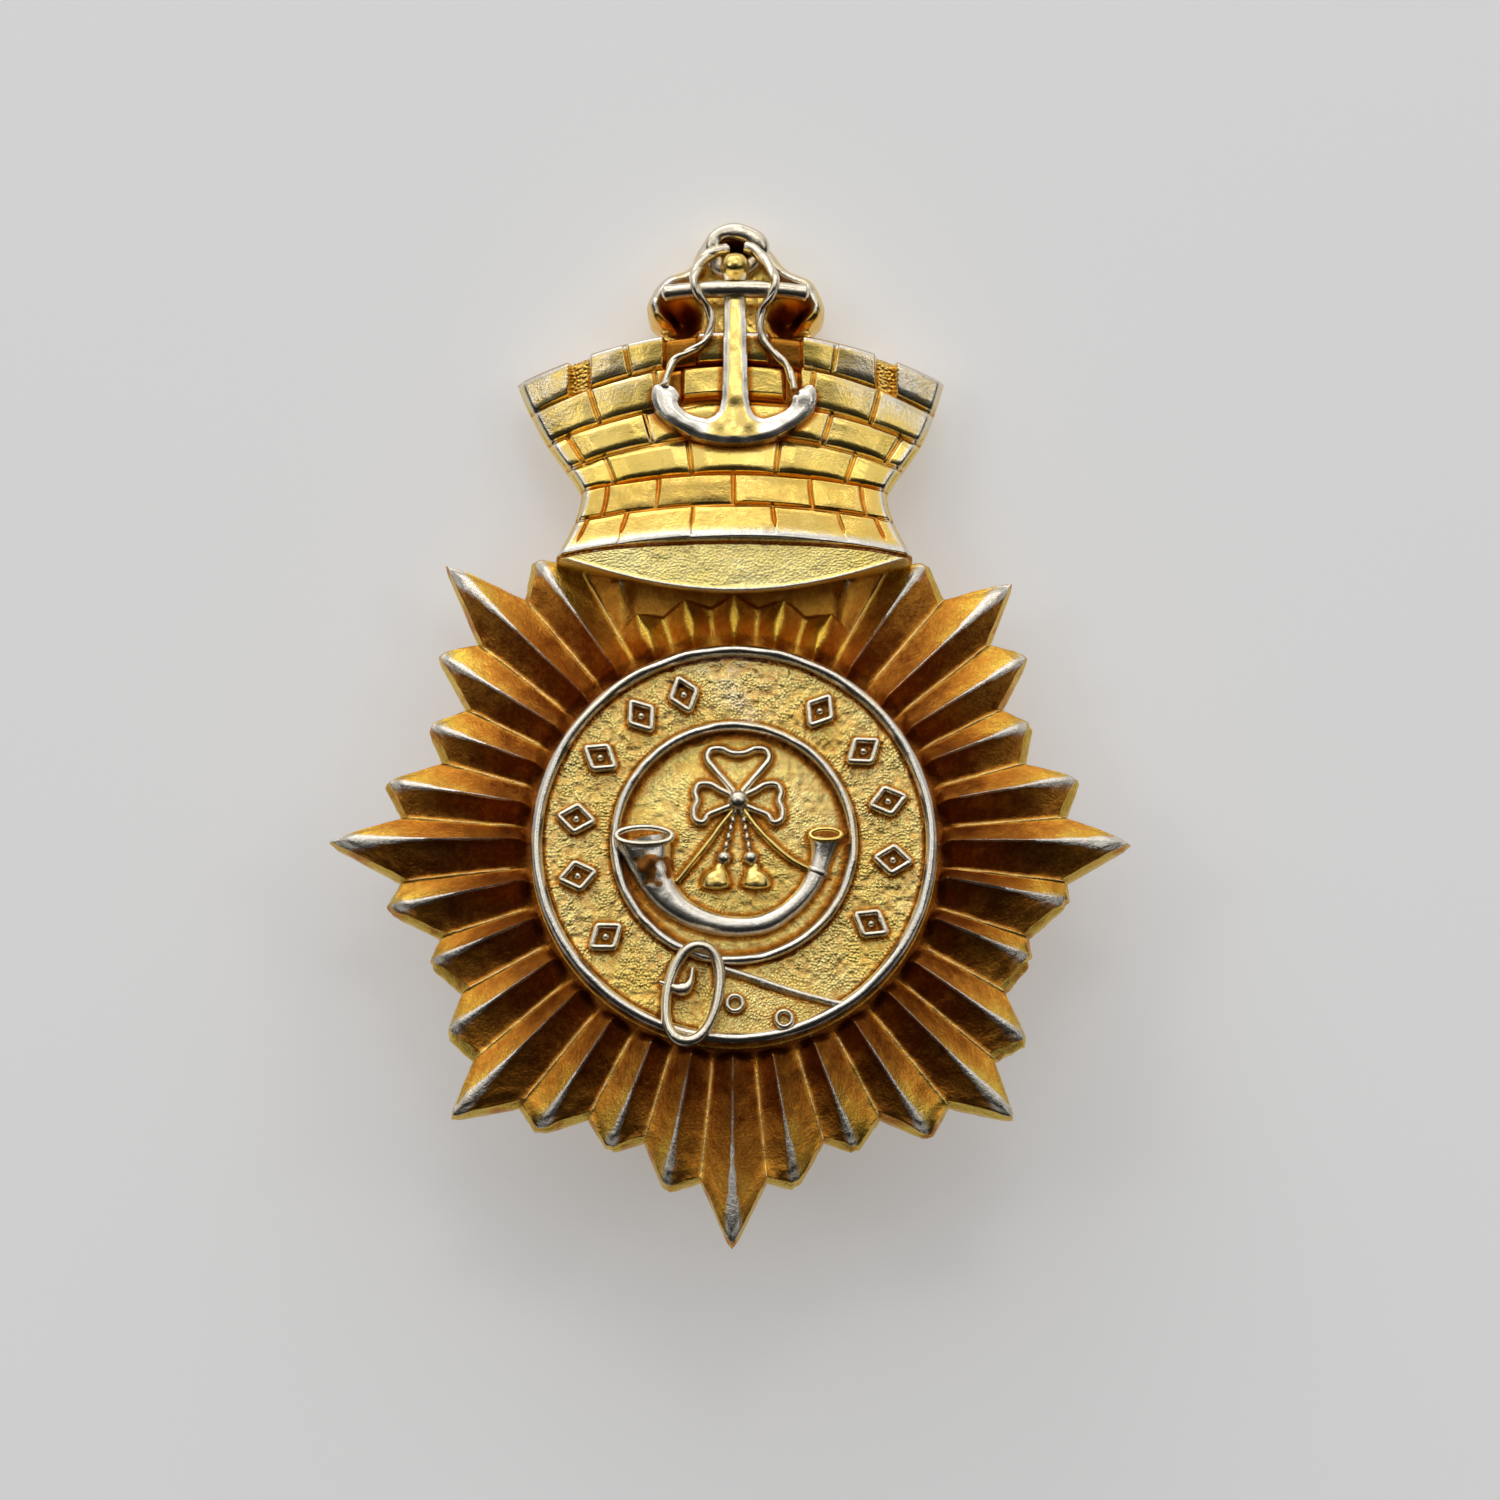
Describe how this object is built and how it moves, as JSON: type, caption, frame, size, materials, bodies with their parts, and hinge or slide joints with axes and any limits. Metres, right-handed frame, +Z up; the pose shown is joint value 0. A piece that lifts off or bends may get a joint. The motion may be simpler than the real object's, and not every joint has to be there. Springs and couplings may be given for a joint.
{
  "type": "cap badge",
  "caption": "Gilt metal cap badge: rayed star with a buckled garter round a bugle, a walled crown and an anchor above, worn on wire lugs and a split pin.",
  "frame": {"origin": "the star's centre, on the plane of the narrow rim round its back", "axes": "+Z up to the crown, +Y out of the badge's back, -Y out of its front, +X to the viewer's right"},
  "size_m": [0.0397, 0.0119, 0.0514],
  "materials": {
    "gilt": "bright gilding, worn silver on the brick edges",
    "pebbled_gilt": "bright gilding on a finely pebbled field",
    "toned_gilt": "gilding toned amber in the hollows",
    "worn_gilt": "gilding worn to white metal on the edges",
    "white_metal": "gilding worn off to polished white metal",
    "brass_wire": "plain drawn brass wire, dull"
  },
  "bodies": {
    "badge": {"star_plate": "toned_gilt", "crown_shell": "gilt", "crown_underside": "pebbled_gilt", "anchor_backing": "toned_gilt", "anchor": "worn_gilt", "anchor_stock": "worn_gilt", "anchor_ring": "worn_gilt", "anchor_cable_left": "worn_gilt", "anchor_cable_right": "worn_gilt", "garter_strap": "pebbled_gilt", "garter_outer_rim": "white_metal", "garter_inner_rim": "white_metal", "strap_end": "pebbled_gilt", "strap_eyelets": "worn_gilt", "garter_buckle": "white_metal", "buckle_tongue": "white_metal", "garter_ornaments": "white_metal", "centre_disc": "pebbled_gilt", "bugle_horn": "white_metal", "bugle_bell_rim": "white_metal", "bugle_mouthpiece": "worn_gilt", "bugle_cords": "worn_gilt", "bow_loops": "white_metal", "bow_knot": "white_metal", "tassel_cords": "white_metal", "tassel_balls": "white_metal", "tassels": "worn_gilt", "lug_left": "brass_wire", "lug_right": "brass_wire"},
    "pin": {"split_pin": "brass_wire"}
  },
  "joints": [
    {"name": "split_pin_slide", "type": "slide", "parent": "badge", "child": "pin", "axis": [-1, 0, 0], "range_m": [0, 0.0235]}
  ]
}
